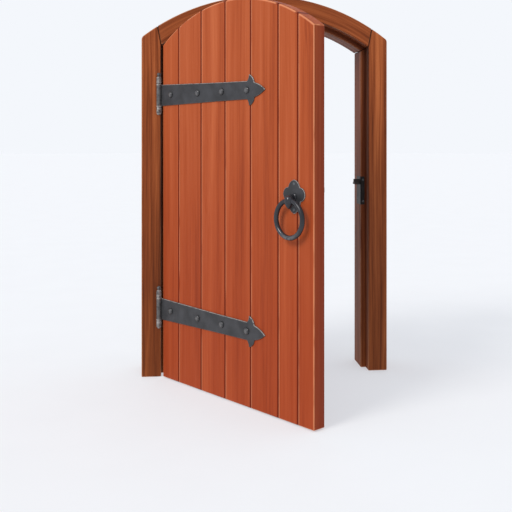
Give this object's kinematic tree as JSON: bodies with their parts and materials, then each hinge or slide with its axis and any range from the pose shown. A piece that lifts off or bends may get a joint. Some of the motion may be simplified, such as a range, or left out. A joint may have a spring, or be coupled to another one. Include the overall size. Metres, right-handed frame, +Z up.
{
  "type": "arched wooden door with frame",
  "caption": "Arched ledged and braced boarded door hung ajar on two iron strap hinges in its rebated timber frame, with a ring-handled latch.",
  "frame": {"origin": "middle of the doorway at floor level, on the front face of the frame", "axes": "+X across the doorway to the latch jamb, +Y through the doorway from the front face to the back, +Z up; the leaf opens towards -Y"},
  "size_m": [1.284, 1.1125, 1.964],
  "materials": {
    "frame_wood": "brown stained timber with a satin sheen",
    "leaf_wood": "orange-red stained boards, satin",
    "ledge_wood": "orange-red stained boards, satin",
    "peg_wood": "plain hardwood",
    "forged_iron": "dark forged iron with soft highlights",
    "fastener_steel": "dull steel"
  },
  "bodies": {
    "frame": {"hinge_jamb": "frame_wood", "latch_jamb": "frame_wood", "arched_head": "frame_wood", "head_tenons": "peg_wood", "tenon_pegs": "peg_wood", "upper_hinge_top_eye": "forged_iron", "upper_hinge_bottom_eye": "forged_iron", "upper_hinge_pin": "forged_iron", "lower_hinge_top_eye": "forged_iron", "lower_hinge_bottom_eye": "forged_iron", "lower_hinge_pin": "forged_iron", "latch_keeper": "forged_iron", "keeper_screws": "fastener_steel"},
    "leaf": {"plank_1": "leaf_wood", "plank_2": "leaf_wood", "plank_3": "leaf_wood", "plank_4": "leaf_wood", "plank_5": "leaf_wood", "plank_6": "leaf_wood", "plank_7": "leaf_wood", "top_ledge": "ledge_wood", "middle_ledge": "ledge_wood", "bottom_ledge": "ledge_wood", "lower_brace": "ledge_wood", "upper_brace": "ledge_wood", "ledge_screws": "fastener_steel", "upper_strap": "forged_iron", "lower_strap": "forged_iron", "strap_bolts": "forged_iron", "strap_washers": "fastener_steel", "strap_nuts": "fastener_steel", "ring_backplate": "forged_iron", "backplate_pins": "fastener_steel", "rear_plate": "forged_iron", "rear_plate_screws": "fastener_steel", "latch_guide": "forged_iron", "latch_pivot": "forged_iron"},
    "spindle": {"ring_spindle": "forged_iron", "latch_lifter": "forged_iron", "spindle_nut": "fastener_steel"},
    "ring": {"ring_handle": "forged_iron"},
    "latch": {"latch_bar": "forged_iron"}
  },
  "joints": [
    {"name": "leaf_swing", "type": "hinge", "parent": "frame", "child": "leaf", "pos_m": [-0.554, -0.014, 0.9], "axis": [0, 0, -1], "range_deg": [-54, 50]},
    {"name": "ring_turn", "type": "hinge", "parent": "leaf", "child": "spindle", "pos_m": [0.03159, -0.79618, 0.976], "axis": [0.809, 0.5878, 0], "range_deg": [0, 40]},
    {"name": "ring_swing", "type": "hinge", "parent": "spindle", "child": "ring", "pos_m": [0.0049, -0.81558, 0.961], "axis": [-0.5878, 0.809, 0], "range_deg": [-7, 150]},
    {"name": "latch_lift", "type": "hinge", "parent": "leaf", "child": "latch", "pos_m": [-0.01777, -0.5564, 1.00356], "axis": [-0.809, -0.5878, 0], "range_deg": [0, 5.8]}
  ],
  "couplings": [
    {"joint": "latch_lift", "follows": "ring_turn", "ratio": 0.145}
  ]
}
